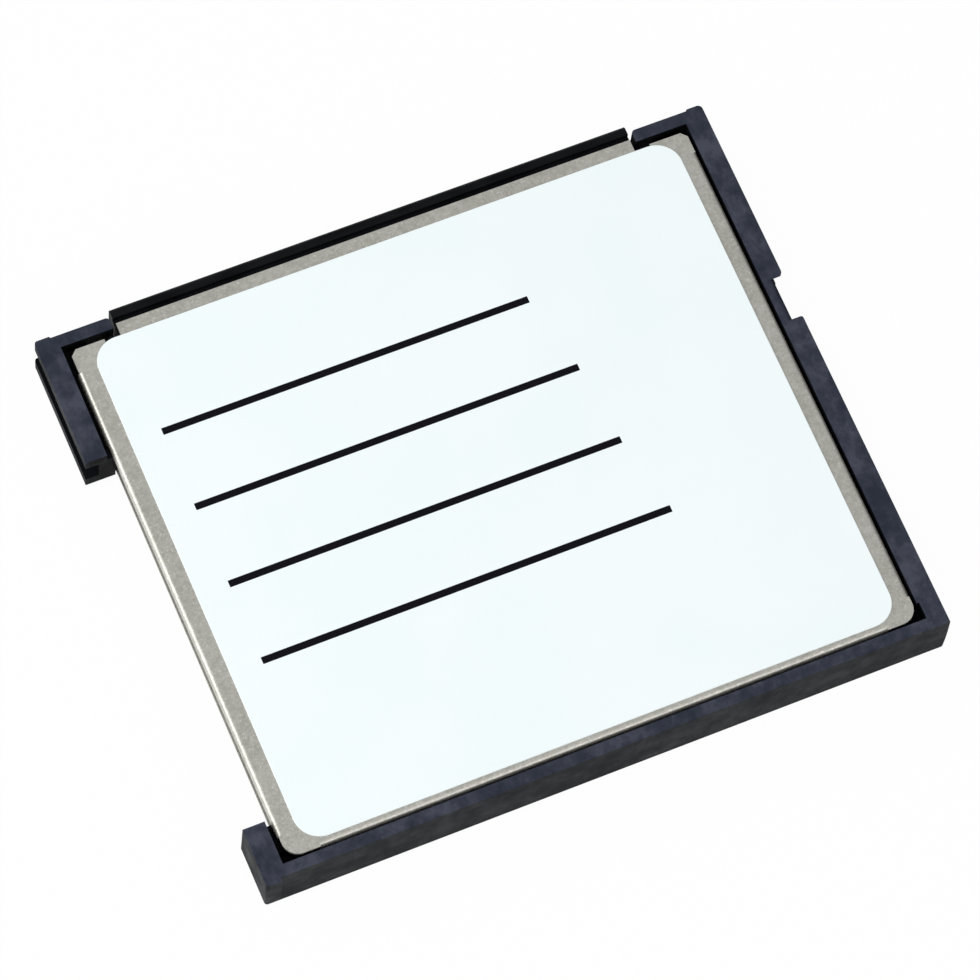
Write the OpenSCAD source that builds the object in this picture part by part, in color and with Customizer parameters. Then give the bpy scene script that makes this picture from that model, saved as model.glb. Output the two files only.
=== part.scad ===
// Adapter that takes a full-size memory card from the side and fits a 42.8 mm card bay by a 50-way socket.
// It lies with its label side up. X runs along the width and the card mouth opens to -X.
// Y runs towards the socket, Z goes up out of the label side, and the origin is the middle of the underside.

/* [Card outline] */
// Width of the card over both side rails
card_w = 42.8; // [41:0.1:45]
// Length of the card from the back rail to the socket's lip
card_l = 36.4; // [35.6:0.1:40]
// Thickness of the card over the rails
card_t = 3.3; // [3.3:0.05:4]
// Radius of the front right corner
front_right_r = 0.3; // [0.1:0.05:0.6]
// Radius of the front left corner
front_left_r = 0.2; // [0.1:0.05:0.6]
// Radius of the back corners
back_r = 0.2; // [0.1:0.05:0.6]

/* [Frame] */
// Width of the side rails on the label side
side_rail_w = 1.35; // [1.2:0.05:1.6]
// Width of the back rail on the label side
back_rail_w = 0.95; // [0.9:0.05:1.3]
// Depth of the two arms beside the socket
front_arm_w = 0.77; // [0.6:0.01:1]
// Length of each arm, from the card's side to its end at the socket
arm_l = 4.65; // [4:0.05:5.5]
// How far each front corner stands ahead of its arm
corner_proud = 0.1; // [0.05:0.05:0.3]
// Width of each proud front corner
corner_w = 1; // [0.6:0.1:1.3]
// Length of the left rail, from the front corner to the card mouth
left_rail_l = 8.25; // [7.5:0.05:9]
// Length of the back left corner block, from the back to the card mouth
back_block_l = 3.67; // [3:0.01:4]
// Lean of the back face, all along but for the back left corner
back_lean = 0.25; // [0.05:0.05:0.3]
// Width of the back left corner that stays upright
back_block_w = 0.95; // [0.8:0.05:2]
// Distance from the arms' front to the rail notch
notch_from_front = 12; // [10:0.1:14]
// Length of the rail notch
notch_l = 2.8; // [2:0.1:4]
// Depth of the rail notch
notch_d = 0.65; // [0.3:0.01:0.7]
// How far the notch's front wall leans forward, half way down
notch_lean = 0.75; // [0:0.05:0.8]
// Width of the chamfer along the notch
notch_chamfer_w = 0.29; // [0.1:0.01:0.4]
// Depth of the chamfer along the notch
notch_chamfer_h = 0.15; // [0.05:0.01:0.3]
// Radius of the notch's front outer corner
notch_front_r = 0.35; // [0.1:0.05:0.4]
// Radius of the notch's back outer corner
notch_back_r = 0.15; // [0.1:0.05:0.4]
// Radius of the arms' ends
arm_r = 0.25; // [0.1:0.05:0.4]
// How much wider the opening is at its back right corner
corner_relief = 0.15; // [0.05:0.05:0.2]
// Length of that wider corner
corner_relief_l = 1.05; // [0.8:0.05:1.5]
// Length of the guide grooves, from the front
groove_l = 25.78; // [20:0.01:28]
// Depth of the guide grooves
groove_d = 0.85; // [0.5:0.05:0.95]
// Height of the left guide groove
groove_left_t = 1.6; // [1.2:0.05:1.8]
// Height of the right guide groove, which keeps the card from going in upside down
groove_right_t = 1; // [0.8:0.05:1.4]
// Thickness of the wall between the card bay and the circuit board's front strip
bay_wall = 1.05; // [0.9:0.05:1.2]
// Width of the slit that the covers' folded edges go into
slit_w = 0.65; // [0.6:0.01:0.7]
// Height of the web between the upper and the lower slit
web_t = 1.1; // [0.9:0.05:1.2]
// Width of the ledge that carries the circuit board
ledge_w = 0.7; // [0.5:0.05:1]
// Wall between neighbouring coring pockets in the bay's back guide
rib_w = 0.8; // [0.6:0.1:1.2]
// Number of coring pockets in the bay's back guide
pockets = 7; // [4:1:9]

/* [Covers] */
// Thickness of the sheet metal
skin_t = 0.2; // [0.15:0.01:0.22]
// How far the covers lie below the rails' faces
cover_drop = 0.1; // [0.05:0.01:0.12]
// Play of both covers towards the right rail
cover_shift = 0.1; // [0:0.05:0.12]
// How much further in the underside's cover ends on the left
low_inset = 0.22; // [0:0.01:0.3]
// Gap between each cover's folded edge and the rail, before the play
cover_gap = 0.25; // [0.2:0.01:0.3]
// Gap between each cover's back edge and the back rail
cover_back_gap = 0.2; // [0.05:0.01:0.15]
// Gap between each cover's front edge and the arms
cover_front_gap = 0.4; // [0.2:0.01:0.5]
// How far the folded edges stand out past the flat corners
fold_proud = 0.06; // [0.05:0.01:0.12]
// Outer radius of the folds
fold_r = 0.3; // [0.25:0.01:0.4]
// Height of the folded edges in the rails, from the cover's face
fold_h = 0.9; // [0.7:0.05:1]
// Height of the folded edges along the card mouth, from the cover's face
hem_h = 0.45; // [0.4:0.01:0.5]
// Radius of the covers' back corners
cover_r = 1; // [0.5:0.05:1.5]
// Distance from the back edge to the start of the folded side edges
fold_from_back = 1.45; // [1.2:0.05:2]
// Distance from the front edge to the start of the folded side edges
fold_from_front = 1.48; // [1.2:0.01:2]
// Size of the clipped front corners
clip = 0.35; // [0.2:0.05:0.6]
// Width of the cut beside the front tab
tab_cut_w = 1; // [0.6:0.05:1.3]
// Depth of the cut beside the front tab
tab_cut_l = 0.75; // [0.4:0.05:1]

/* [Label] */
// Margin of cover that shows left of the label
label_left = 1.2; // [1:0.05:2.5]
// Margin of cover that shows right of the label
label_right = 1.05; // [1:0.05:2.5]
// Margin of cover that shows behind the label
label_back = 0.45; // [0.4:0.05:2]
// Margin of cover that shows ahead of the label
label_front = 0.13; // [0.1:0.01:1.5]
// Thickness of the label
label_t = 0.08; // [0.05:0.01:0.1]
// Radius of the label's corners
label_r = 1.6; // [0.5:0.1:3]

/* [Socket] */
// Least wall between the last contact's pitch and the housing's end
end_wall = 0.6; // [0.4:0.05:1]
// Distance between neighbouring contacts in a row
pitch = 1.27; // [1.2:0.01:1.3]
// Distance between the two rows
row_gap = 1.27; // [1.2:0.01:1.3]
// How far the socket stands ahead of the front corners
socket_proud = 0.4; // [0.2:0.05:0.8]
// Length of the socket's housing, from its front to the contact tails
socket_l = 4.8; // [4.4:0.1:5.2]
// Length of the lip along the socket's front
lip_l = 0.6; // [0.4:0.05:0.8]
// Height of the lip above the covers' inner faces
lip_rise = 0.15; // [0.05:0.01:0.2]
// Width of the groove between the lip and the cover's tab
lip_gap = 0.38; // [0.2:0.01:0.5]
// Depth of that groove
lip_gap_d = 0.15; // [0.05:0.01:0.2]
// Gap between the housing and the end of each arm
arm_gap = 0.2; // [0.1:0.05:0.3]
// Gap between the housing's side and the edge of the cover's tab
tab_inset = 0.07; // [0.05:0.01:0.2]
// Size of the square hole that a pin enters by
entry = 0.55; // [0.5:0.01:0.6]
// Size of the square chamber that a contact sits in
chamber = 0.82; // [0.75:0.01:0.9]
// Length of the entry holes
entry_l = 0.7; // [0.4:0.05:1]
// Width of the contacts
contact_w = 0.6; // [0.4:0.05:0.65]
// Thickness of the contacts
contact_t = 0.15; // [0.1:0.01:0.16]
// Length of a contact's tail on the circuit board
tail_l = 1.1; // [0.8:0.05:1.2]
// Width of the side ears that key the housing into the frame
ear_w = 1.8; // [1.5:0.1:2.2]
// Length of the side ears
ear_l = 2.4; // [2:0.1:2.6]
// Height of the side ears
ear_t = 1.5; // [1.2:0.1:1.7]
// Width of the key at each ear's front
key_w = 0.3; // [0.25:0.05:0.5]
// Diameter of the peg on each key
peg_d = 0.26; // [0.2:0.02:0.3]
// Height of the peg
peg_h = 0.5; // [0.3:0.05:0.55]
// Gap between an ear and its pocket
ear_gap = 0.05; // [0.03:0.01:0.08]

/* [Card bay] */
// Thickness of the contact block's wall, which is the bay's stop
block_t = 1.4; // [1:0.1:1.6]
// Thickness of the insulating film under the card contacts
film_t = 0.08; // [0.05:0.01:0.1]
// Length of the insulating film under the card, ahead of the stop
film_l = 5.2; // [4.9:0.1:6]
// Distance from the bay's back guide to the first card contact
media_first = 2.65; // [2:0.05:3]
// Distance from the ninth card contact to the bay's front guide
media_last = 2.35; // [2:0.05:3]
// Distance between the last two card contacts
media_last_pitch = 1.7; // [1.5:0.05:2.5]
// How far the card contacts reach into the bay
spring_l = 4; // [3:0.1:4.4]
// Length of a card contact's turned-down lip
spring_lip = 0.6; // [0.4:0.05:0.8]
// Distance from the stop to where a card contact begins to rise
spring_from_stop = 1.4; // [1:0.1:1.8]
// Length of a card contact's tail under the circuit board
spring_tail_l = 1.1; // [0.8:0.1:2]
// Width of a card contact
spring_w = 0.8; // [0.5:0.05:1.2]
// Thickness of the spring strip
spring_t = 0.12; // [0.08:0.01:0.15]
// Height to which a card contact's tip rises above its root
spring_rise = 0.5; // [0.3:0.05:0.7]
// Height of the two switch blades
blade_h = 0.75; // [0.5:0.05:0.85]
// Length of the switch blades
blade_l = 4.2; // [3:0.1:5]
// Distance that a switch blade bulges into the bay
blade_bulge = 0.5; // [0.3:0.05:0.7]
// Distance from the contact block's front end to the blades' roots
blade_in = 0.35; // [0.25:0.05:0.5]

/* [Circuit board] */
// Thickness of the circuit board
board_t = 0.6; // [0.5:0.05:0.7]
// Width of the board's limb beside the card bay
board_limb_w = 6.9; // [6.5:0.1:7.5]
// Gap between the circuit board's edges and what stands beside them
board_gap = 0.1; // [0.05:0.01:0.15]
// Side of the controller chip
chip_w = 5; // [4:0.1:5]
// Height of the controller chip
chip_h = 0.85; // [0.6:0.05:0.9]
// Length of the voltage regulator
regulator_l = 2; // [1.8:0.1:2.2]
// Width of the voltage regulator's body
regulator_w = 1.25; // [1.1:0.05:1.4]
// Height of the voltage regulator
regulator_h = 0.9; // [0.7:0.05:0.95]
// Length of the crystal's can
crystal_l = 3.2; // [2.5:0.1:3.4]
// Width of the crystal's can
crystal_w = 2.5; // [2:0.1:2.6]
// Height of the crystal's can
crystal_h = 0.8; // [0.6:0.05:0.9]
// Length of a chip capacitor or resistor
passive_l = 1; // [0.8:0.05:1.1]
// Width of a chip capacitor or resistor
passive_w = 0.5; // [0.4:0.05:0.55]
// Distance between neighbouring capacitors or resistors in a row
passive_pitch = 1.2; // [1:0.05:1.5]
// Space left along the limb between one kind of part and the next
part_gap = 1.7; // [0.8:0.1:2]
// Distance between neighbouring legs of the voltage regulator
leg_pitch = 0.65; // [0.6:0.01:0.7]
// Width of a leg
leg_w = 0.25; // [0.2:0.01:0.3]
// Thickness of a leg
leg_t = 0.12; // [0.08:0.01:0.15]
// Number of capacitors along the board's front strip
strip_capacitors = 6; // [3:1:8]

/* [Hidden] */
$fn = 48;
eps = 0.01;

side_x = card_w / 2;
front_y = card_l / 2;
back_y = -card_l / 2;
mid_z = card_t / 2;
corner_front_y = front_y - socket_proud;
arm_front_y = corner_front_y - corner_proud;
window_x = side_x - side_rail_w;
window_front_y = arm_front_y - front_arm_w;
window_back_y = back_y + back_rail_w;
mouth_front_y = corner_front_y - left_rail_l;
mouth_back_y = back_y + back_block_l;
notch_front_y = arm_front_y - notch_from_front;
notch_back_y = notch_front_y - notch_l;
notch_x = side_x - notch_d;

top_z = card_t - cover_drop;
in_low = cover_drop + skin_t;
in_high = card_t - in_low;
slit_in_x = window_x - slit_w;
hem_slit_z = top_z - hem_h - 0.05;
web_low = mid_z - web_t / 2;
web_high = mid_z + web_t / 2;

fold_x = window_x - cover_gap;
flat_x = fold_x - fold_proud;
cover_back_y = window_back_y + cover_back_gap;
cover_front_y = window_front_y - cover_front_gap;
fold_back_y = cover_back_y + fold_from_back;
fold_front_y = cover_front_y - fold_from_front;
fold_end_x = flat_x - 2 * cover_r;
back_slit_in_y = window_back_y + slit_w;
deep_front_y = mouth_front_y + slit_w;

arm_end_x = side_x - arm_l;
socket_x = arm_end_x - arm_gap;
contacts = floor(2 * (socket_x - end_wall) / pitch);
socket_back_y = front_y - socket_l;
tab_front_y = front_y - lip_l - lip_gap;
tab_x = socket_x - tab_inset;
row_z = mid_z + row_gap / 2;
ear_back_y = socket_back_y + board_gap;
ear_front_y = ear_back_y + ear_l;

board_low = mid_z - board_t / 2;
board_high = mid_z + board_t / 2;
board_front_y = socket_back_y - board_gap;
board_strip_y = mouth_front_y + bay_wall + board_gap;
board_right_x = slit_in_x - board_gap;
board_back_y = back_slit_in_y + board_gap;
board_left_x = board_right_x - board_limb_w;
block_back_x = board_left_x - board_gap;
stop_x = block_back_x - block_t;
block_front_y = mouth_front_y - board_gap;
block_back_y = mouth_back_y + board_gap;
spring_root_z = in_low + film_t + spring_t / 2;
parts_x = (board_left_x + board_right_x) / 2;
media_row_l = mouth_front_y - mouth_back_y - media_first - media_last;
media_pitch = (media_row_l - media_last_pitch) / 7;

// The parts on the board's limb follow one another from the back
capacitor_y = board_back_y + part_gap;
regulator_y = capacitor_y + passive_l / 2 + part_gap + regulator_l / 2;
chip_y = regulator_y + regulator_l / 2 + part_gap;
resistor_y = chip_y + chip_w + part_gap / 2 + passive_l / 2;
crystal_y = resistor_y + passive_l / 2 + part_gap;
blade_root_y = block_front_y - blade_in;

// Rectangle between two opposite corners
module area(x0, y0, x1, y1) {
    translate([x0, y0])
        square([x1 - x0, y1 - y0]);
}

// Box between two opposite corners
module block(x0, y0, z0, x1, y1, z1) {
    translate([x0, y0, z0])
        cube([x1 - x0, y1 - y0, z1 - z0]);
}

// Rectangle whose corners are rounded one by one: back left, back right, front right, front left
module rounded_area(x0, y0, x1, y1, radii) {
    corners = [[x0, y0, 1, 1], [x1, y0, -1, 1], [x1, y1, -1, -1], [x0, y1, 1, -1]];
    difference() {
        area(x0, y0, x1, y1);
        for (i = [0:3])
            let (c = corners[i], r = radii[i])
                translate([c[0] + c[2] * r / 2, c[1] + c[3] * r / 2])
                    square(r, center = true);
    }
    for (i = [0:3])
        let (c = corners[i], r = radii[i])
            translate([c[0] + c[2] * r, c[1] + c[3] * r])
                circle(r);
}

// Unit vector from one point of a path to the next
function along(a, b) = (b - a) / norm(b - a);

// Sideways offset at a path's point, mitred so that the strip keeps its thickness
function side_step(path, i, d) =
    let (last = len(path) - 1,
         before = along(path[max(i - 1, 0)], path[max(i, 1)]),
         after = along(path[min(i, last - 1)], path[min(i + 1, last)]),
         middle = along([0, 0], before + after),
         stretch = 1 / max(0.3, middle * after))
    path[i] + d * stretch * [-middle[1], middle[0]];

// Strip of constant thickness along a path in the plane
module strip(path, thickness) {
    last = len(path) - 1;
    polygon(concat(
        [for (i = [0:last]) side_step(path, i, thickness / 2)],
        [for (i = [last:-1:0]) side_step(path, i, -thickness / 2)]
    ));
}

// Profile drawn in Y and Z and carried along X, from x0 to x1
module carried_x(x0, x1) {
    translate([x0, 0, 0])
        rotate([90, 0, 90])
            linear_extrude(x1 - x0)
                children();
}

// Profile drawn in X and Z and carried along Y, from y0 to y1
module carried_y(y0, y1) {
    translate([0, y1, 0])
        rotate([90, 0, 0])
            linear_extrude(y1 - y0)
                children();
}

// The same thing on the underside
module turned_over() {
    translate([0, 0, card_t])
        mirror([0, 0, 1])
            children();
}

// The same thing as it is and turned over, for what is alike on the label side and the underside
module both_faces() {
    children();
    turned_over()
        children();
}

// The same thing on the right and on the left
module both_sides() {
    children();
    mirror([1, 0, 0])
        children();
}

// What a rounding takes off the corner at x, y of a plan whose material lies towards to_x, to_y
module corner_cut(x, y, to_x, to_y, r) {
    difference() {
        translate([x + to_x * (r - eps) / 2, y + to_y * (r - eps) / 2])
            square(r + eps, center = true);
        translate([x + to_x * r, y + to_y * r])
            circle(r);
    }
}

// The notch in the right rail with its rounded outer corners, and the rounded ends of the arms
module plan_cuts() {
    area(notch_x, notch_back_y, side_x + 1, notch_front_y);
    corner_cut(side_x, notch_front_y, -1, 1, notch_front_r);
    corner_cut(side_x, notch_back_y, -1, -1, notch_back_r);
    area(-arm_end_x, socket_back_y, arm_end_x, front_y + 1);
    both_sides()
        corner_cut(arm_end_x, arm_front_y, 1, -1, arm_r);
}

// What the notch takes below the face: its front wall leans forward, and its edge is chamfered
module notch_undercut() {
    carried_x(notch_x, side_x + 1)
        polygon([[notch_back_y, 0], [notch_front_y, 0], [notch_front_y + notch_lean, mid_z],
            [notch_front_y, card_t], [notch_back_y, card_t]]);
    both_faces()
        carried_y(notch_back_y, notch_front_y)
            polygon([[notch_x - notch_chamfer_w, card_t], [notch_x, card_t - notch_chamfer_h],
                [side_x, card_t - notch_chamfer_h], [side_x, card_t + eps]]);
}

// Plan of the frame, with its proud front corners
module frame_plan() {
    rounded_area(-side_x, back_y, side_x, arm_front_y, [back_r, back_r, front_right_r, front_left_r]);
    rounded_area(side_x - corner_w, window_front_y, side_x, corner_front_y,
        [0.1, 0.1, front_right_r, corner_proud]);
    rounded_area(-side_x, window_front_y, corner_w - side_x, corner_front_y,
        [0.1, 0.1, corner_proud, front_left_r]);
}

// Plan of the opening that each cover lies in
module window_plan() {
    area(-window_x, window_back_y, window_x, window_front_y);
}

// Plan of the frame's inner walls: the bay's two guides and the seats of the socket's ears
module wall_plan() {
    area(-window_x - eps, mouth_front_y, block_back_x, mouth_front_y + bay_wall);
    area(-window_x - eps, window_back_y - eps, block_back_x, mouth_back_y);
    both_sides()
        area(arm_end_x, socket_back_y, window_x + eps, window_front_y + eps);
}

// Plan of the low ledges that carry the circuit board
module ledge_plan() {
    area(-window_x - eps, mouth_front_y, window_x + eps, mouth_front_y + bay_wall + ledge_w);
    area(board_right_x - ledge_w, window_back_y, window_x + eps, socket_back_y);
    area(block_back_x - eps, window_back_y - eps, window_x + eps, board_back_y + ledge_w);
}

// Slits above the web, which take a cover's folded edges. The left ones start left_in further in
module slits(left_in) {
    left_x = -window_x + left_in;
    left_in_x = -slit_in_x + left_in;
    front_slit_y = cover_front_y - cover_front_gap / 2;
    // Right rail and both ends of the window, at full depth
    block(slit_in_x, window_back_y, web_high, window_x, window_front_y, card_t);
    block(left_x, window_back_y, web_high, window_x, back_slit_in_y, card_t);
    block(left_x, window_back_y, web_high, left_in_x, mouth_back_y, card_t);
    block(left_x, front_slit_y, web_high, window_x, window_front_y, card_t);
    block(slit_in_x, window_back_y, web_high,
        window_x + corner_relief, window_back_y + corner_relief_l, card_t);
    // Left rail, behind a wall that closes the rail's end at the card mouth
    block(left_x, deep_front_y, web_high, left_in_x, window_front_y, card_t);
    // Shallow slit over that wall
    block(left_x - eps, mouth_front_y - eps, hem_slit_z, left_in_x, deep_front_y + eps, card_t);
}

// Deep corners under the round back corners of the cover on the label side
module corner_wells() {
    both_sides()
        block(slit_in_x - ledge_w / 2, window_back_y, mid_z - 0.25,
            window_x, back_slit_in_y + ledge_w / 2, card_t);
}

// Guide groove in a side rail, open at the front
module groove(height) {
    block(side_x - groove_d, corner_front_y - groove_l, mid_z - height / 2,
        side_x + 1, corner_front_y + 1, mid_z + height / 2);
}

// Slanted slice that gives the back face its lean, from the left corner block to the right end
module back_slice() {
    high_z = card_t + eps;
    carried_x(-side_x + back_block_w, side_x + 1)
        polygon([[back_y, 0], [back_y + back_lean, high_z], [back_y - 1, high_z], [back_y - 1, 0]]);
}

// Pocket that takes a socket ear, open towards the label side
module ear_pocket() {
    block(socket_x, socket_back_y - eps, mid_z - ear_t / 2 - ear_gap,
        socket_x + ear_w + ear_gap, window_front_y, card_t);
}

// Coring pockets in the bay's back guide, which keep the moulding's walls even
module coring() {
    start_x = -slit_in_x + rib_w;
    step = (block_back_x - start_x) / pockets;
    for (i = [0:pockets - 1])
        block(start_x + i * step, back_slit_in_y + rib_w / 2, web_high - 0.3,
            start_x + (i + 1) * step - rib_w, mouth_back_y - rib_w, card_t);
}

module frame() {
    color([0.16, 0.17, 0.2]) {
        frame_body();
        // Closes the gap beside the underside's cover where the left rail ends
        block(-window_x - eps, mouth_front_y, 0,
            -fold_x + cover_shift + low_inset - board_gap / 2, deep_front_y - eps, hem_slit_z);
    }
}

module frame_body() {
    difference() {
        union() {
            linear_extrude(card_t)
                difference() {
                    frame_plan();
                    window_plan();
                    plan_cuts();
                }
            translate([0, 0, in_low])
                linear_extrude(in_high - in_low)
                    wall_plan();
            translate([0, 0, in_low])
                linear_extrude(board_low - in_low)
                    ledge_plan();
            // Web between the slits, all round the window but for the mouth
            translate([0, 0, web_low])
                linear_extrude(web_t)
                    difference() {
                        area(-window_x - eps, window_back_y - eps, window_x + eps, window_front_y + eps);
                        area(-slit_in_x, back_slit_in_y, slit_in_x, window_front_y + 1);
                    }
            // The opening on the underside is narrower on the left
            block(-window_x - eps, window_back_y - eps, 0, -window_x + low_inset, window_front_y + eps, mid_z);
        }
        slits(0);
        turned_over()
            slits(low_inset);
        both_faces()
            coring();
        corner_wells();
        both_sides()
            ear_pocket();
        groove(groove_right_t);
        mirror([1, 0, 0])
            groove(groove_left_t);
        // Space for the socket between the arms
        block(-arm_end_x, socket_back_y, -1, arm_end_x, front_y + 1, card_t + 1);
        // Card mouth, out through the left side
        block(-side_x - 1, mouth_back_y, -1, -slit_in_x + eps, mouth_front_y, card_t + 1);
        back_slice();
        notch_undercut();
        // Room for the switch blades to lie back in
        block(stop_x - blade_l - 1, mouth_front_y - 1, in_low + film_t, stop_x,
            mouth_front_y + bay_wall / 2, in_high - film_t);
    }
}

// Plan of a cover's flat sheet, with its tab, its clipped front corners and its round back corners
module sheet_plan(left_in) {
    x0 = cover_shift - flat_x + left_in;
    x1 = cover_shift + flat_x;
    difference() {
        union() {
            polygon([
                [x0, cover_back_y + cover_r], [x0, cover_front_y - clip], [x0 + clip, cover_front_y],
                [x1 - clip, cover_front_y], [x1, cover_front_y - clip], [x1, cover_back_y + cover_r]
            ]);
            rounded_area(x0, cover_back_y, x1, 0, [cover_r, cover_r, eps, eps]);
            area(-tab_x, 0, tab_x, tab_front_y);
        }
        both_sides()
            area(tab_x, cover_front_y - tab_cut_l, tab_x + tab_cut_w, tab_front_y + 1);
        // The sheet ends where its folds begin
        area(cover_shift + fold_x - fold_r, fold_back_y, cover_shift + fold_x + 1, fold_front_y);
        area(x0 - 1, fold_back_y, x0 - fold_proud + fold_r, fold_front_y);
        area(x0 + 2 * cover_r, cover_back_y - 1, cover_shift + fold_end_x, cover_back_y + fold_r);
    }
}

// Section of a folded edge whose outer face is at zero: a quarter bend, and a leg that reaches down
module fold_section(height) {
    translate([-fold_r, -fold_r])
        intersection() {
            difference() {
                circle(fold_r);
                circle(fold_r - skin_t);
            }
            square(fold_r);
        }
    translate([-skin_t, -height])
        square([skin_t, height - fold_r]);
    // The bend runs on a little way into the flat sheet
    translate([-fold_r - eps, -skin_t])
        square([eps, skin_t]);
}

// A cover as it lies on the label side, with its left edge left_in further in
module cover(left_in) {
    left_x = cover_shift - fold_x + left_in;
    translate([0, 0, top_z - skin_t])
        linear_extrude(skin_t)
            sheet_plan(left_in);
    // Right edge, folded at full depth
    carried_y(fold_back_y, fold_front_y)
        translate([cover_shift + fold_x, top_z])
            fold_section(fold_h);
    // Left edge, folded at full depth in the left rail and low along the card mouth
    carried_y(deep_front_y + 0.05 - eps, fold_front_y)
        translate([left_x, top_z])
            mirror([1, 0])
                fold_section(fold_h);
    carried_y(fold_back_y, deep_front_y + 0.05)
        translate([left_x, top_z])
            mirror([1, 0])
                fold_section(hem_h);
    // Back edge
    carried_x(left_x + fold_proud + 2 * cover_r, cover_shift + fold_end_x)
        translate([cover_back_y, top_z])
            mirror([1, 0])
                fold_section(fold_h);
}

module top_cover() {
    color([0.66, 0.65, 0.6])
        cover(0);
}

module bottom_cover() {
    color([0.66, 0.65, 0.6])
        turned_over()
            cover(low_inset);
}

module label() {
    x0 = cover_shift - fold_x + label_left;
    x1 = cover_shift + fold_x - label_right;
    color([0.94, 0.97, 0.98])
        translate([0, 0, top_z])
            linear_extrude(label_t)
                rounded_area(x0, cover_back_y + label_back, x1, cover_front_y - label_front,
                    [label_r, label_r, label_r, label_r]);
}

// Middle of contact i of a row, across the card
function contact_x(i) = (i - (contacts - 1) / 2) * pitch;

// Entry holes and chambers of one row
module row_holes(z) {
    for (i = [0:contacts - 1]) {
        block(contact_x(i) - entry / 2, front_y - entry_l - eps, z - entry / 2,
            contact_x(i) + entry / 2, front_y + 1, z + entry / 2);
        block(contact_x(i) - chamber / 2, socket_back_y - 1, z - chamber / 2,
            contact_x(i) + chamber / 2, front_y - entry_l, z + chamber / 2);
    }
}

module socket_housing() {
    lip_back_y = front_y - lip_l;
    // Half of the housing's section: body, groove and lip on the label side
    half_section = [
        [socket_back_y, mid_z], [socket_back_y, in_high], [tab_front_y, in_high],
        [tab_front_y, in_high - lip_gap_d], [lip_back_y, in_high - lip_gap_d],
        [lip_back_y, in_high + lip_rise], [front_y - lip_rise, in_high + lip_rise],
        [front_y, in_high], [front_y, mid_z]
    ];
    color([0.13, 0.13, 0.14]) {
        difference() {
            both_faces()
                carried_x(-socket_x, socket_x)
                    polygon(half_section);
            row_holes(row_z);
            row_holes(card_t - row_z);
        }
        both_sides() {
            block(socket_x - eps, ear_back_y, mid_z - ear_t / 2,
                socket_x + ear_w, ear_front_y, mid_z + ear_t / 2);
            // Key that meets the arm, with a small peg that marks it from above
            block(arm_end_x + key_w / 2, ear_front_y - eps, mid_z - ear_t / 2,
                arm_end_x + key_w * 1.5, window_front_y - ear_gap, mid_z + ear_t / 2);
            translate([arm_end_x + key_w, window_front_y - ear_gap - key_w, mid_z])
                cylinder(d = peg_d, h = ear_t / 2 + peg_h);
        }
    }
}

// Side view of a socket contact: a fork inside the chamber and a tail that lies on the board
module contact_section() {
    tail_z = board_high + contact_t / 2;
    low_z = row_z - chamber / 2 + contact_t / 2;
    high_z = row_z + chamber / 2 - contact_t / 2;
    fork_front_y = front_y - entry_l - 0.2;
    root_y = socket_back_y + 1;
    strip([[board_front_y - tail_l, tail_z], [board_front_y + 0.05, tail_z], [socket_back_y + 0.3, low_z],
        [fork_front_y - 1.2, low_z], [fork_front_y - 0.3, low_z + 0.12],
        [fork_front_y, low_z + 0.04]], contact_t);
    strip([[root_y, low_z], [root_y, high_z], [fork_front_y - 1.2, high_z],
        [fork_front_y - 0.3, high_z - 0.12], [fork_front_y, high_z - 0.04]], contact_t);
}

module upper_contacts() {
    color([0.85, 0.7, 0.35])
        for (i = [0:contacts - 1])
            carried_x(contact_x(i) - contact_w / 2, contact_x(i) + contact_w / 2)
                contact_section();
}

module lower_contacts() {
    translate([0, 0, card_t])
        mirror([0, 0, 1])
            upper_contacts();
}

// Board that runs behind the socket and down beside the card bay
module circuit_board() {
    color([0.1, 0.35, 0.2])
        translate([0, 0, board_low])
            linear_extrude(board_t) {
                area(-board_right_x, board_strip_y, board_right_x, board_front_y);
                area(board_left_x, board_back_y, board_right_x, board_front_y);
            }
}

module controller_chip() {
    color([0.1, 0.1, 0.11])
        difference() {
            translate([parts_x - chip_w / 2, chip_y, board_high])
                cube([chip_w, chip_w, chip_h]);
            // Dimple that marks the first contact
            translate([parts_x - chip_w / 2 + 0.7, chip_y + chip_w - 0.7, board_high + chip_h - 0.08])
                cylinder(d = 0.6, h = 1);
        }
}

module voltage_regulator() {
    color([0.1, 0.1, 0.11])
        block(parts_x - regulator_w / 2, regulator_y - regulator_l / 2, board_high + 0.05,
            parts_x + regulator_w / 2, regulator_y + regulator_l / 2, board_high + regulator_h);
}

// Bent legs of the voltage regulator, three on one side and two on the other
module regulator_legs() {
    body_x = regulator_w / 2;
    path = [[body_x, board_high + regulator_h / 2], [body_x + 0.15, board_high + regulator_h / 2],
        [body_x + 0.22, board_high + leg_t / 2], [body_x + 0.5, board_high + leg_t / 2]];
    color([0.75, 0.75, 0.72])
        translate([parts_x, regulator_y, 0]) {
            for (y = [-leg_pitch, 0, leg_pitch])
                carried_y(y - leg_w / 2, y + leg_w / 2)
                    strip(path, leg_t);
            for (y = [-leg_pitch, leg_pitch])
                mirror([1, 0, 0])
                    carried_y(y - leg_w / 2, y + leg_w / 2)
                        strip(path, leg_t);
        }
}

module crystal() {
    color([0.78, 0.76, 0.7])
        translate([0, 0, board_high])
            linear_extrude(crystal_h)
                rounded_area(parts_x - crystal_w / 2, crystal_y,
                    parts_x + crystal_w / 2, crystal_y + crystal_l,
                    [0.3, 0.3, 0.3, 0.3]);
}

// Small two-ended part lying along Y on the board
module passive(x, y, height) {
    translate([x - passive_w / 2, y - passive_l / 2, board_high])
        cube([passive_w, passive_l, height]);
}

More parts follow.
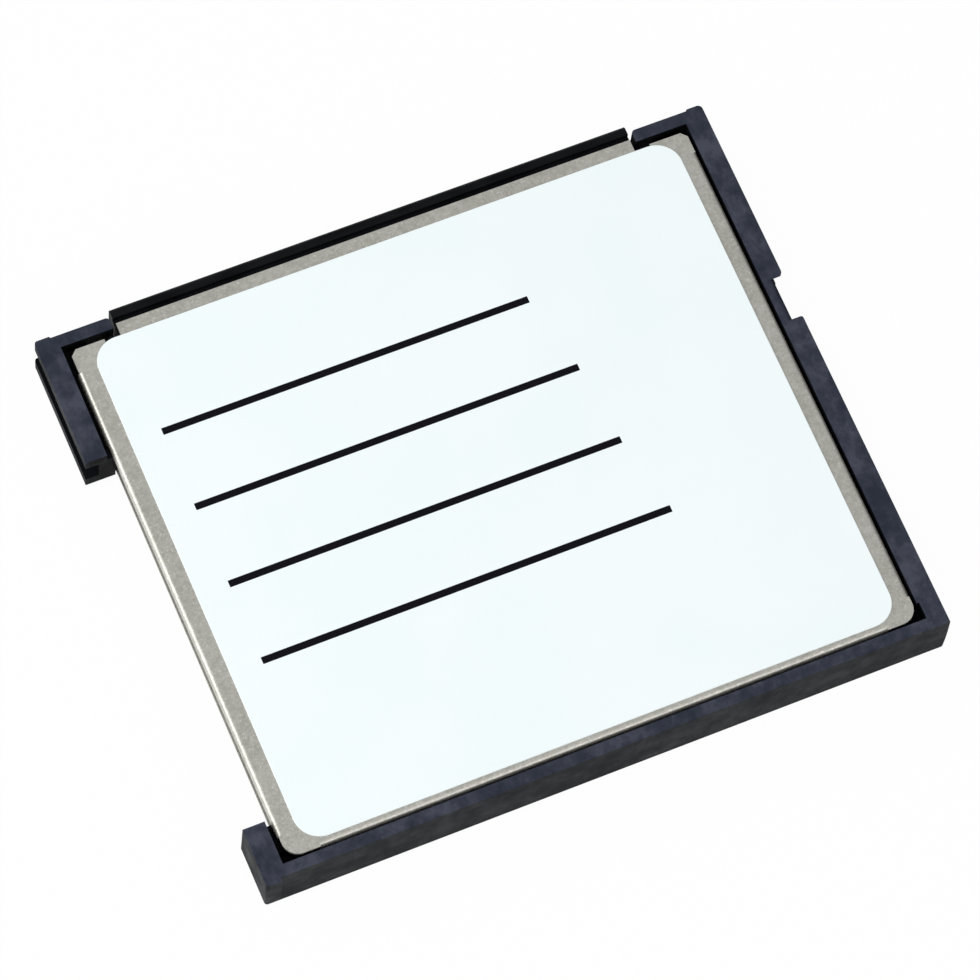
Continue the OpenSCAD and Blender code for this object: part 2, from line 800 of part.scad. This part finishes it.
module capacitors() {
    strip_y = board_strip_y + passive_l / 2 + 0.05;
    span = 2 * socket_x / strip_capacitors;
    color([0.62, 0.48, 0.32]) {
        for (i = [0:strip_capacitors - 1])
            passive(-socket_x + (i + 0.5) * span, strip_y, passive_w);
        for (i = [-1.5:1.5])
            passive(parts_x + i * passive_pitch, capacitor_y, passive_w);
    }
}

module resistors() {
    color([0.08, 0.08, 0.09])
        for (i = [-1.5:1.5])
            passive(parts_x + i * passive_pitch, resistor_y, passive_w * 0.7);
}

// Middle of card contact i, from the back
function media_y(i) =
    mouth_back_y + media_first + min(i, 7) * media_pitch + max(i - 7, 0) * media_last_pitch;

// Side view of a card contact: a tail under the board, a root in the block and a sprung tip under the card
module spring_section() {
    tail_z = board_low - spring_t / 2;
    bend_x = block_back_x - 0.35;
    tip_z = spring_root_z + spring_rise;
    strip([[board_left_x + spring_tail_l, tail_z], [bend_x, tail_z], [bend_x, spring_root_z],
        [stop_x - spring_from_stop, spring_root_z], [stop_x - spring_l + spring_lip, tip_z],
        [stop_x - spring_l, tip_z - spring_lip / 3]], spring_t);
}

module card_contact(i) {
    color([0.85, 0.7, 0.35])
        carried_y(media_y(i) - spring_w / 2, media_y(i) + spring_w / 2)
            spring_section();
}

// Moulded wall that ends the bay and holds the card contacts and the two switch blades
module contact_block() {
    slot = spring_w / 2 + 0.03;
    color([0.14, 0.14, 0.15])
        difference() {
            block(stop_x, block_back_y, in_low + film_t, block_back_x, block_front_y, in_high);
            for (i = [0:8])
                block(stop_x - 1, media_y(i) - slot, 0,
                    block_back_x + 1, media_y(i) + slot, board_low + 0.05);
            // Slits for the blades' roots
            for (z = [blade_low(0), blade_low(1)])
                block(stop_x - 1, blade_root_y - spring_t / 2 - 0.02, z - 0.02,
                    stop_x + block_t / 2 + 0.02, blade_root_y + spring_t / 2 + 0.02, z + blade_h + 0.02);
        }
}

// Height of the lower edge of switch blade i
function blade_low(i) = in_low + film_t + 0.2 + i * (blade_h + 0.3);

// Sprung blade that the card's edge pushes back into the bay wall
module switch_blade(i, length) {
    color([0.8, 0.72, 0.5])
        translate([0, 0, blade_low(i)])
            linear_extrude(blade_h)
                strip([[stop_x + block_t / 2, blade_root_y], [stop_x - length / 3, blade_root_y],
                    [stop_x - length * 0.7, blade_root_y - blade_bulge], [stop_x - length, blade_root_y]],
                    spring_t);
}

module detect_blade() {
    switch_blade(0, blade_l);
}

module protect_blade() {
    switch_blade(1, blade_l * 0.8);
}

module insulating_film() {
    color([0.75, 0.5, 0.12])
        block(stop_x - film_l, block_back_y, in_low, board_right_x - ledge_w - board_gap, block_front_y,
            in_low + film_t);
}

frame();
top_cover();
bottom_cover();
label();
socket_housing();
upper_contacts();
lower_contacts();
circuit_board();
controller_chip();
voltage_regulator();
regulator_legs();
crystal();
capacitors();
resistors();
contact_block();
insulating_film();
detect_blade();
protect_blade();
for (i = [0:8])
    card_contact(i);
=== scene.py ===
import bpy
import numpy as np
from mathutils import Matrix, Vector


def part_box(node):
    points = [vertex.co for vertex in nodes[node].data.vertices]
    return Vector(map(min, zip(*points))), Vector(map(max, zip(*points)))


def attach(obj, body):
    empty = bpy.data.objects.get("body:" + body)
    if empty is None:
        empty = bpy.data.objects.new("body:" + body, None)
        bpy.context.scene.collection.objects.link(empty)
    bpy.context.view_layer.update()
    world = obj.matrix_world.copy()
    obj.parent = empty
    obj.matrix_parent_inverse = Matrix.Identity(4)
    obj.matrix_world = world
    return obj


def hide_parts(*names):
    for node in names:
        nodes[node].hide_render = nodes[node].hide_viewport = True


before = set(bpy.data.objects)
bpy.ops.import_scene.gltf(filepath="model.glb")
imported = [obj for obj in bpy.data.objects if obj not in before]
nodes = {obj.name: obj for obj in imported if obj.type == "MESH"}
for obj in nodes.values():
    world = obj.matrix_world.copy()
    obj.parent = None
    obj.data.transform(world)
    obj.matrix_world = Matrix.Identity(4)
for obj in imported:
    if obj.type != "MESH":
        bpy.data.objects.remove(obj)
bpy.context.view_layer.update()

# Frame
# One moulding of slate-black glass-filled plastic: rails, arms, corner blocks, and inside them the
# bay's guides and the board's ledges. The tool left a fine mottled grain and lightly broken edges.


def new_finish(name):
    """An empty node material whose pattern coordinates are the object's own, in millimetres."""
    finish = bpy.data.materials.new(name)
    finish.use_nodes = True
    tree = finish.node_tree
    tree.nodes.clear()
    coordinates = tree.nodes.new("ShaderNodeTexCoord")
    in_mm = tree.nodes.new("ShaderNodeMapping")
    in_mm.name = "in_mm"
    in_mm.inputs["Scale"].default_value = (1000, 1000, 1000)
    tree.links.new(coordinates.outputs["Object"], in_mm.inputs["Vector"])
    return finish


def add(finish, kind, settings=None, **sockets):
    """Adds a node to a material or to the world.

    A socket given as (node, output) is linked, and any other value is set on it. A socket is called by
    its name, or by i and its number.
    """
    tree = finish.node_tree
    node = tree.nodes.new("ShaderNode" + kind)
    for key, value in (settings or {}).items():
        setattr(node, key, value)
    for key, value in sockets.items():
        name = key.replace("_", " ")
        numbered = name[0] == "i" and name[1:].isdigit()
        socket = node.inputs[int(name[1:]) if numbered else name]
        if isinstance(value, tuple) and isinstance(value[0], bpy.types.Node):
            tree.links.new(value[0].outputs[value[1]], socket)
        else:
            socket.default_value = value
    return node


def maths(finish, operation, *values):
    """One sum of one to three values, each a number or a (node, output)."""
    sockets = {f"i{number}": value for number, value in enumerate(values)}
    return add(finish, "Math", {"operation": operation}, **sockets)


def stretched(finish, scale, place=(0, 0, 0)):
    """The millimetre coordinates, scaled and moved once more for one pattern."""
    in_mm = finish.node_tree.nodes["in_mm"]
    return add(finish, "Mapping", Vector=(in_mm, 0), Scale=scale, Location=place)


def cloud(finish, scale, detail, roughness, place=(0, 0, 0)):
    """Noise with its grains one over scale millimetres wide along each axis."""
    where = stretched(finish, scale, place)
    return add(finish, "TexNoise", Vector=(where, 0), Scale=1.0, Detail=detail, Roughness=roughness)


def between(finish, cause, low, high, to_low, to_high):
    """A straight rise from to_low to to_high as the cause goes from low to high, held flat beyond."""
    return add(finish, "MapRange", {"clamp": True}, Value=cause, From_Min=low, From_Max=high,
               To_Min=to_low, To_Max=to_high)


def tones(finish, cause, stops):
    """Colours by place along a ramp."""
    ramp = add(finish, "ValToRGB", Fac=cause)
    elements = ramp.color_ramp.elements
    while len(elements) < len(stops):
        elements.new(0.5)
    for element, (place, colour) in zip(elements, stops):
        element.position = place
        element.color = (*colour, 1)
    return ramp


def over(finish, factor, under, upper):
    """The upper colour laid over the one under it, by a factor."""
    return add(finish, "Mix", {"data_type": "RGBA"}, Factor=factor, i6=under, i7=upper)


def relief(finish, height, depth_mm, strength=1.0, below=None):
    """A bump whose full height is depth_mm, on top of another bump if one is given."""
    sockets = {"Height": height, "Distance": depth_mm / 1000, "Strength": strength}
    if below is not None:
        sockets["Normal"] = (below, 0)
    return add(finish, "Bump", **sockets)


def surface(finish, colour, rough, bump=None, metal=0.0, specular=0.5):
    """The shader itself, with what is the same all over set on its own sockets."""
    sockets = {"Base_Color": colour, "Roughness": rough, "Metallic": metal,
               "Specular_IOR_Level": specular}
    if bump is not None:
        sockets["Normal"] = (bump, 0)
    shader = add(finish, "BsdfPrincipled", **sockets)
    add(finish, "OutputMaterial", Surface=(shader, 0))
    return finish


def moulded_plastic():
    """Slate blue on the open top and bottom, flat grey on the outer walls and black inside.

    These colours are partly the moulding's own mottled tone and partly painted light, picked by
    which way a face points. The lighter blue of the open tops and bottoms is painted sheen. The
    outer walls' grey is darker by painted shade. The black of the inner walls and of the lower
    floors and ledges is painted shade. Where a face lies is read from the object's own place.
    It is outer within 0.1 mm of the sides' planes or 0.3 mm of the back's, and fades to inside over
    the next 0.2 mm. It is open when it is level with the top or the bottom. The rounded outer edges
    between the two get a paler line, a painted highlight.
    """
    low, high = (np.array(corner) * 1000 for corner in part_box("frame"))
    middle_z, half_w, half_t = (low[2] + high[2]) / 2, high[0], (high[2] - low[2]) / 2
    finish = new_finish("slate_moulding")
    smears = cloud(finish, (0.9, 0.7, 0.9), 4, 0.65)
    patches = cloud(finish, (0.22, 0.22, 0.22), 2, 0.5, place=(5, 2, 0))
    flecks = cloud(finish, (5, 5, 5), 3, 0.7, place=(3, 1, 0))
    grain = cloud(finish, (14, 14, 14), 2, 0.6, place=(0, 7, 2))
    waves = cloud(finish, (0.3, 0.3, 0.3), 1, 0.5)
    blend = maths(finish, "MULTIPLY_ADD", (patches, 0), 0.7, -0.35)
    blend = maths(finish, "ADD", (blend, 0), (smears, 0))
    # Painted sheen and shade: the first tones, lighter and bluer, go on faces that point up or down.
    # The second, darker ones go on the walls. The split by face direction is painted light, and the
    # mottling in each is the moulding's own.
    top_tones_with_painted_sheen = tones(finish, (blend, 0), [
        (0.34, (0.023, 0.028, 0.043)),
        (0.50, (0.035, 0.040, 0.058)),
        (0.68, (0.060, 0.066, 0.090))])
    wall_tones_with_painted_shade = tones(finish, (blend, 0), [
        (0.34, (0.012, 0.0135, 0.016)),
        (0.50, (0.016, 0.0175, 0.021)),
        (0.68, (0.022, 0.024, 0.028))])
    facing = add(finish, "SeparateXYZ", Vector=(add(finish, "NewGeometry"), "Normal"))
    place = add(finish, "SeparateXYZ", Vector=(finish.node_tree.nodes["in_mm"], 0))
    level = maths(finish, "ABSOLUTE", (facing, "Z"))
    flat = between(finish, (level, 0), 0.75, 0.97, 0.0, 1.0)
    height = maths(finish, "SUBTRACT", (place, "Z"), middle_z)
    height = maths(finish, "ABSOLUTE", (height, 0))
    open_face = between(finish, (height, 0), half_t - 0.35, half_t - 0.1, 0.0, 1.0)
    across = maths(finish, "ABSOLUTE", (place, "X"))
    beside = between(finish, (across, 0), half_w - 0.3, half_w - 0.1, 0.0, 1.0)
    behind = between(finish, (place, "Y"), low[1] + 0.5, low[1] + 0.3, 0.0, 1.0)
    outer = maths(finish, "MAXIMUM", (beside, 0), (behind, 0))
    # Painted shade: walls away from the outer sides and back, and flat faces below the open top and
    # bottom, are painted near black as the shade inside the rails and bay.
    walls = over(finish, (outer, 0), (0.0035, 0.0038, 0.0048, 1), (wall_tones_with_painted_shade, 0))
    tops = over(finish, (open_face, 0), (0.004, 0.0045, 0.006, 1), (top_tones_with_painted_sheen, 0))
    base = over(finish, (flat, 0), (walls, 2), (tops, 2))
    fleck = between(finish, (flecks, 0), 0.60, 0.78, 0.0, 0.22)
    fleck = maths(finish, "MULTIPLY", (fleck, 0), (open_face, 0))
    colour = over(finish, (fleck, 0), (base, 2), (0.085, 0.09, 0.11, 1))
    # Painted highlight: a paler line on the rounded outer edges between the open faces and the outer
    # walls, picked by the slope of the edge's normal.
    turning = between(finish, (level, 0), 0.2, 0.6, 0.0, 0.75)
    turned = between(finish, (level, 0), 0.8, 0.97, 1.0, 0.0)
    painted_edge_highlight = maths(finish, "MULTIPLY", (turning, 0), (turned, 0))
    painted_edge_highlight = maths(finish, "MULTIPLY", (painted_edge_highlight, 0), (open_face, 0))
    painted_edge_highlight = maths(finish, "MULTIPLY", (painted_edge_highlight, 0), (outer, 0))
    colour = over(finish, (painted_edge_highlight, 0), (colour, 2), (0.115, 0.12, 0.135, 1))
    rough = between(finish, (blend, 0), 0.3, 0.7, 0.66, 0.5)
    bump = relief(finish, (grain, 0), 0.012, 0.6)
    bump = relief(finish, (waves, 0), 0.035, 0.5, below=bump)
    return surface(finish, (colour, 2), (rough, 0), bump, specular=0.05)


def placed(name, points, faces):
    """A new object at the origin, with its place in its mesh."""
    mesh = bpy.data.meshes.new(name)
    mesh.from_pydata(points, [], faces)
    mesh.update()
    piece = bpy.data.objects.new(name, mesh)
    bpy.context.scene.collection.objects.link(piece)
    return piece


def welded_copy(node, name, rounding_mm):
    """A merged copy of a CAD node that takes the node's place and has its edges rounded.

    Corners within a tenth of a micrometre are one corner: each is rounded to that step, and its place
    in the sorted list of different ones is its number. Faces that lose a corner by it are dropped.
    """
    steps_in_a_metre = 1e7
    source = nodes[node].data
    source.calc_loop_triangles()
    corners = np.empty(len(source.vertices) * 3)
    source.vertices.foreach_get("co", corners)
    faces = np.empty(len(source.loop_triangles) * 3, dtype=np.int64)
    source.loop_triangles.foreach_get("vertices", faces)
    corners = corners.reshape(-1, 3)
    _, first, number = np.unique(
        np.round(corners * steps_in_a_metre), axis=0, return_index=True, return_inverse=True)
    faces = number.reshape(-1)[faces].reshape(-1, 3)
    whole = np.all(faces != np.roll(faces, 1, axis=1), axis=1)
    piece = placed(name, corners[first], faces[whole])
    piece.data.polygons.foreach_set("use_smooth", np.ones(len(piece.data.polygons), dtype=bool))
    flats = piece.modifiers.new("flats", "DECIMATE")
    flats.decimate_type = "DISSOLVE"
    flats.angle_limit = np.radians(0.5)
    edges = piece.modifiers.new("edges", "BEVEL")
    edges.width = rounding_mm / 1000
    edges.segments = 2
    edges.limit_method = "ANGLE"
    edges.angle_limit = np.radians(35)
    edges.use_clamp_overlap = True
    normals = piece.modifiers.new("normals", "WEIGHTED_NORMAL")
    normals.keep_sharp = False
    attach(piece, "root")
    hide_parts(node)
    return piece


frame_moulding = welded_copy("frame", "frame_moulding", 0.07)
frame_moulding.data.materials.append(moulded_plastic())

# Covers
# Two pressings of thin stainless sheet, one for each face. The sides and the back are folded down
# into the rails' slits, and the rolled surface is dull, warm and finely speckled.


def rolled_steel():
    """Dull rolled sheet: fine specks, blotches a third of a millimetre wide, and slow patches."""
    finish = new_finish("speckled_sheet")
    specks = cloud(finish, (6.5, 6.5, 6.5), 4, 0.75)
    patches = cloud(finish, (0.35, 0.35, 0.35), 3, 0.6, place=(4, 9, 0))
    grain = cloud(finish, (13, 13, 13), 3, 0.7, place=(1, 2, 5))
    base = tones(finish, (specks, 0), [
        (0.32, (0.40, 0.385, 0.34)),
        (0.46, (0.53, 0.52, 0.475)),
        (0.58, (0.58, 0.57, 0.52)),
        (0.70, (0.88, 0.87, 0.81))])
    patch = between(finish, (patches, 0), 0.35, 0.7, 0.0, 0.55)
    colour = over(finish, (patch, 0), (base, 0), (0.64, 0.625, 0.58, 1))
    blotches = cloud(finish, (2.6, 2.6, 2.6), 4, 0.65, place=(8, 3, 1))
    blotch = between(finish, (blotches, 0), 0.42, 0.66, 0.0, 0.55)
    colour = over(finish, (blotch, 0), (colour, 2), (0.40, 0.40, 0.355, 1))
    rough = between(finish, (grain, 0), 0.3, 0.7, 0.36, 0.50)
    bump = relief(finish, (specks, 0), 0.010, 0.6)
    bump = relief(finish, (grain, 0), 0.004, 0.5, below=bump)
    return surface(finish, (colour, 2), (rough, 0), bump, metal=0.65)


sheet = rolled_steel()
for node, name in (("bottom_cover", "underside_pressing"), ("top_cover", "label_side_pressing")):
    pressing = welded_copy(node, name, 0.06)
    pressing.data.materials.append(sheet)

# Insulating film
# A strip of amber film stuck to the underside's cover, so that the springs above it can't touch
# the metal.


def dress(node, finish):
    """Gives a carried-over CAD node its finish in place of the one it came with."""
    nodes[node].data.materials.clear()
    nodes[node].data.materials.append(finish)


def amber_film():
    """Clear amber film, a little uneven where its glue holds."""
    finish = new_finish("amber_film")
    glue = cloud(finish, (0.8, 0.8, 0.8), 3, 0.6)
    colour = tones(finish, (glue, 0), [(0.35, (0.42, 0.17, 0.02)), (0.65, (0.55, 0.26, 0.04))])
    rough = between(finish, (glue, 0), 0.3, 0.7, 0.2, 0.32)
    return surface(finish, (colour, 0), (rough, 0), relief(finish, (glue, 0), 0.01, 0.4))


dress("insulating_film", amber_film())

# Contact block and springs
# A black moulding ends the bay. Nine sprung card contacts and two switch blades are pressed into
# it, stamped from copper alloy strip with a thin flash of gold.


def socket_plastic():
    """Black glass-filled plastic, flat, with short pale fibres near the skin."""
    finish = new_finish("socket_moulding")
    fibres = cloud(finish, (2.5, 14, 9), 3, 0.6)
    slow = cloud(finish, (0.4, 0.9, 0.9), 2, 0.5, place=(2, 0, 1))
    base = tones(finish, (slow, 0), [
        (0.35, (0.003, 0.0033, 0.0042)),
        (0.65, (0.007, 0.0075, 0.009))])
    fibre = between(finish, (fibres, 0), 0.62, 0.8, 0.0, 0.3)
    colour = over(finish, (fibre, 0), (base, 0), (0.03, 0.03, 0.034, 1))
    rough = between(finish, (fibres, 0), 0.3, 0.7, 0.6, 0.48)
    bump = relief(finish, (fibres, 0), 0.006, 0.5)
    return surface(finish, (colour, 2), (rough, 0), bump, specular=0.06)


def gold_flash():
    """Thin gold over nickel, with fine lines along the strip from rolling."""
    finish = new_finish("gold_flash")
    lines = cloud(finish, (1.2, 22, 22), 3, 0.6)
    colour = tones(finish, (lines, 0), [(0.3, (0.66, 0.45, 0.16)), (0.7, (0.85, 0.64, 0.28))])
    rough = between(finish, (lines, 0), 0.3, 0.7, 0.2, 0.34)
    bump = relief(finish, (lines, 0), 0.002, 0.5)
    return surface(finish, (colour, 0), (rough, 0), bump, metal=1.0)


black_moulding = socket_plastic()
gold = gold_flash()
block = welded_copy("contact_block", "bay_end_block", 0.04)
block.data.materials.append(black_moulding)
for node in [f"card_contact_{i}" for i in range(1, 10)] + ["detect_blade", "protect_blade"]:
    dress(node, gold)

# Circuit board and its parts
# Green lacquered glass-epoxy board with a moulded controller chip, a regulator on bent legs, a
# plated crystal can and small ceramic parts, all soldered on.


def green_lacquer():
    """Green lacquer over woven glass: two crossed sets of threads that just show through."""
    finish = new_finish("green_lacquer")
    where = stretched(finish, (1.6, 1.6, 1.6))
    warp, weft = (
        add(finish, "TexWave", {"bands_direction": way}, Vector=(where, 0), Scale=1.0, Distortion=0.6)
        for way in "XY")
    weave = maths(finish, "MULTIPLY", (warp, 1), (weft, 1))
    colour = tones(finish, (weave, 0), [(0.0, (0.010, 0.085, 0.035)), (1.0, (0.020, 0.14, 0.06))])
    rough = between(finish, (weave, 0), 0.0, 1.0, 0.3, 0.4)
    return surface(finish, (colour, 0), (rough, 0), relief(finish, (weave, 0), 0.006, 0.5))


def small_part(name, dark, light, rough_low, rough_high, metal=0.0):
    """Colour and dullness of a small board part, varied by one fine noise."""
    finish = new_finish(name)
    grain = cloud(finish, (6, 6, 6), 3, 0.6)
    colour = tones(finish, (grain, 0), [(0.3, dark), (0.7, light)])
    rough = between(finish, (grain, 0), 0.3, 0.7, rough_low, rough_high)
    bump = relief(finish, (grain, 0), 0.004, 0.5)
    return surface(finish, (colour, 0), (rough, 0), bump, metal=metal)


epoxy = small_part("chip_epoxy", (0.008, 0.008, 0.009), (0.02, 0.02, 0.022), 0.45, 0.6)
dress("circuit_board", green_lacquer())
dress("controller_chip", epoxy)
dress("voltage_regulator", epoxy)
dress("regulator_legs", small_part(
    "tin_plating", (0.5, 0.5, 0.48), (0.7, 0.7, 0.68), 0.2, 0.35, metal=1.0))
dress("crystal", small_part(
    "nickel_can", (0.5, 0.46, 0.38), (0.68, 0.64, 0.56), 0.22, 0.32, metal=1.0))
dress("capacitors", small_part(
    "tan_ceramic", (0.28, 0.16, 0.08), (0.42, 0.26, 0.14), 0.35, 0.5))
dress("resistors", small_part(
    "black_film", (0.006, 0.006, 0.007), (0.018, 0.018, 0.02), 0.25, 0.4))

# Socket
# One black moulding across the front, with fifty small square holes in two rows and a lip on each
# face that the covers' tabs end against. Each chamber holds a forked contact soldered to the board.

socket = welded_copy("socket_housing", "front_socket", 0.05)
socket.data.materials.append(black_moulding)
dress("upper_contacts", gold)
dress("lower_contacts", gold)

# Label
# White printed film with large round corners, stuck on the cover. The four ruled lines are for the
# user's own notes, printed in black ink.

label_low, label_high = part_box("label")
label_radius = 0.0016
thick = label_high[2] - label_low[2]
film_edge = [(0, 0), (0, thick * 0.6), (0.00001, thick * 0.85), (0.00003, thick)]


def rounded_outline(low, high, radius, per_corner):
    """A rectangle with round corners: each corner is a quarter turn of points about its centre."""
    turn = np.linspace(0, np.pi / 2, per_corner)
    quarter = np.stack([np.cos(turn), np.sin(turn)], axis=1) * radius
    spin = np.array([[0, 1], [-1, 0]])
    centres = [(high[0] - radius, high[1] - radius), (low[0] + radius, high[1] - radius),
               (low[0] + radius, low[1] + radius), (high[0] - radius, low[1] + radius)]
    return np.concatenate([
        quarter @ np.linalg.matrix_power(spin, i) + centre for i, centre in enumerate(centres)])


def carried_rim(name, outline, profile, floor_z):
    """A flat film whose edge is a profile carried round an outline.

    Each profile point is (how far in, how high). A point of the outline moves in by that much, square
    to the chord of its two neighbours, so the rings stay parallel. The last ring is one flat face.
    """
    count = len(outline)
    before, after = np.roll(outline, 1, axis=0), np.roll(outline, -1, axis=0)
    along = after - before
    inward = np.stack([-along[:, 1], along[:, 0]], axis=1)
    inward /= np.linalg.norm(inward, axis=1, keepdims=True)
    profile = np.asarray(profile)
    rings = outline[None] + inward[None] * profile[:, 0][:, None, None]
    heights = np.broadcast_to(floor_z + profile[:, 1][:, None], rings.shape[:2])
    points = np.concatenate([rings, heights[..., None]], axis=2).reshape(-1, 3)
    ring, step = np.meshgrid(np.arange(len(profile) - 1), np.arange(count), indexing="ij")
    a = ring * count + step
    b = ring * count + (step + 1) % count
    quads = np.stack([a, b, b + count, a + count], axis=-1).reshape(-1, 4)
    top = np.arange(count) + (len(profile) - 1) * count
    bottom = np.arange(count)[::-1]
    return placed(name, points, [*quads.tolist(), top.tolist(), bottom.tolist()])


def printed_film():
    """White film, faintly cool, with the slow unevenness of the glue under it."""
    finish = new_finish("white_film")
    glue = cloud(finish, (0.12, 0.12, 0.12), 2, 0.5)
    fine = cloud(finish, (3, 3, 3), 3, 0.6)
    colour = tones(finish, (glue, 0), [(0.3, (0.875, 0.955, 0.965)), (0.7, (0.90, 0.965, 0.975))])
    rough = between(finish, (fine, 0), 0.3, 0.7, 0.38, 0.46)
    bump = relief(finish, (fine, 0), 0.0015, 0.5)
    return surface(finish, (colour, 0), (rough, 0), bump, specular=0.3)


outline = rounded_outline(label_low, label_high, label_radius, per_corner=24)
film = carried_rim("write_on_label", outline, film_edge, label_low[2])
film.data.materials.append(printed_film())
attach(film, "root")
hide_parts("label")

# Writing lines
# Four ruled lines in black ink on the label, six micrometres thick, each a little longer than the
# one in front of it.

line_left = (-0.01653, -0.01652, -0.01651, -0.01652)
line_right = (0.00667, 0.00771, 0.00818, 0.00916)
line_height = (0.00979, 0.00471, -0.00044, -0.00550)
line_w = 0.00044
line_radius = 0.00003
ink_edge = [(0, 0), (0, 0.000004), (0.000004, 0.000006)]


def printing_ink():
    """Black ink, a little thinner in places so that the film just shows."""
    finish = new_finish("black_ink")
    thin = cloud(finish, (7, 7, 7), 3, 0.6)
    colour = tones(finish, (thin, 0), [(0.35, (0.002, 0.002, 0.004)), (0.75, (0.006, 0.006, 0.009))])
    rough = between(finish, (thin, 0), 0.3, 0.7, 0.6, 0.7)
    return surface(finish, (colour, 0), (rough, 0), specular=0.08)


ink = printing_ink()
for i, (left, right, middle) in enumerate(zip(line_left, line_right, line_height)):
    outline = rounded_outline(
        (left, middle - line_w / 2), (right, middle + line_w / 2), line_radius, per_corner=4)
    line = carried_rim(f"writing_line_{i + 1}", outline, ink_edge, label_high[2])
    line.data.materials.append(ink)
    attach(line, "root")

# Floor, light and camera
# A plain white sheet under soft studio light. The camera stands behind and left of the card, high
# up, with the lens and tilt that the outline gives.


def white_sheet():
    """White to the camera and to reflections, pale and matt to all else, and clear from below."""
    finish = new_finish("white_sheet")
    path = add(finish, "LightPath")
    seen = maths(finish, "MAXIMUM", (path, "Is Camera Ray"), (path, "Is Glossy Ray"))
    seen = maths(finish, "MAXIMUM", (seen, 0), (path, "Is Transmission Ray"))
    share = maths(finish, "MULTIPLY", (seen, 0), 0.97)
    matt = add(finish, "BsdfDiffuse", Color=(0.85, 0.85, 0.85, 1))
    white = add(finish, "Emission", Color=(1, 1, 1, 1), Strength=1.0)
    both = add(finish, "MixShader", Fac=(share, 0), i1=(matt, 0), i2=(white, 0))
    clear = add(finish, "BsdfTransparent")
    below = add(finish, "NewGeometry")
    sided = add(finish, "MixShader", Fac=(below, "Backfacing"), i1=(both, 0), i2=(clear, 0))
    add(finish, "OutputMaterial", Surface=(sided, 0))
    return finish


# The sheet lies a hundredth of a millimetre low, and off centre so that the line between its own two
# triangles doesn't run under the card.
left, right, back, front, level = -1.8, 2.2, -2.2, 1.8, -1e-5
floor = placed("floor", [
    (left, back, level), (right, back, level), (right, front, level), (left, front, level)],
    [(0, 1, 2, 3)])
floor.data.materials.append(white_sheet())

world = bpy.data.worlds.new("studio")
bpy.context.scene.world = world
world.use_nodes = True
world.node_tree.nodes.clear()
soft = add(world, "Background", Color=(1, 1, 1, 1), Strength=0.42)
white = add(world, "Background", Color=(1, 1, 1, 1), Strength=1.0)
path = add(world, "LightPath")
mix = add(world, "MixShader", Fac=(path, "Is Camera Ray"), i1=(soft, 0), i2=(white, 0))
add(world, "OutputWorld", Surface=(mix, 0))


def soft_box(name, place, side, power):
    """A square area lamp at a place, turned so that its own -Z points at the card."""
    lamp = bpy.data.lights.new(name, "AREA")
    lamp.shape = "SQUARE"
    lamp.size = side
    lamp.energy = power
    holder = bpy.data.objects.new(name, lamp)
    bpy.context.scene.collection.objects.link(holder)
    back = np.array(place) / np.linalg.norm(place)
    right = np.cross((0, 0, 1), back)
    right /= np.linalg.norm(right)
    turn = np.eye(4)
    turn[:3] = np.stack([right, np.cross(back, right), back, place], axis=1)
    holder.matrix_world = Matrix(turn.tolist())


soft_box("overhead_box", (-0.2, -0.25, 0.62), 0.7, 1.42)
soft_box("left_box", (-0.46, 0.2, 0.3), 0.42, 2.15)
soft_box("back_box", (0.12, -0.46, 0.32), 0.3, 0.75)

camera = bpy.data.objects.new("camera", bpy.data.cameras.new("camera"))
bpy.context.scene.collection.objects.link(camera)
camera.data.sensor_width = 36
camera.data.lens = 201.511
camera.data.clip_start, camera.data.clip_end = 0.01, 20
camera.matrix_world = Matrix((
    (0.917652, 0.338985, -0.207374, -0.066288),
    (-0.391591, 0.860164, -0.326764, -0.104688),
    (0.067607, 0.381061, 0.922075, 0.297077),
    (0, 0, 0, 1)))
bpy.context.scene.camera = camera
bpy.context.scene.view_settings.view_transform = "Standard"
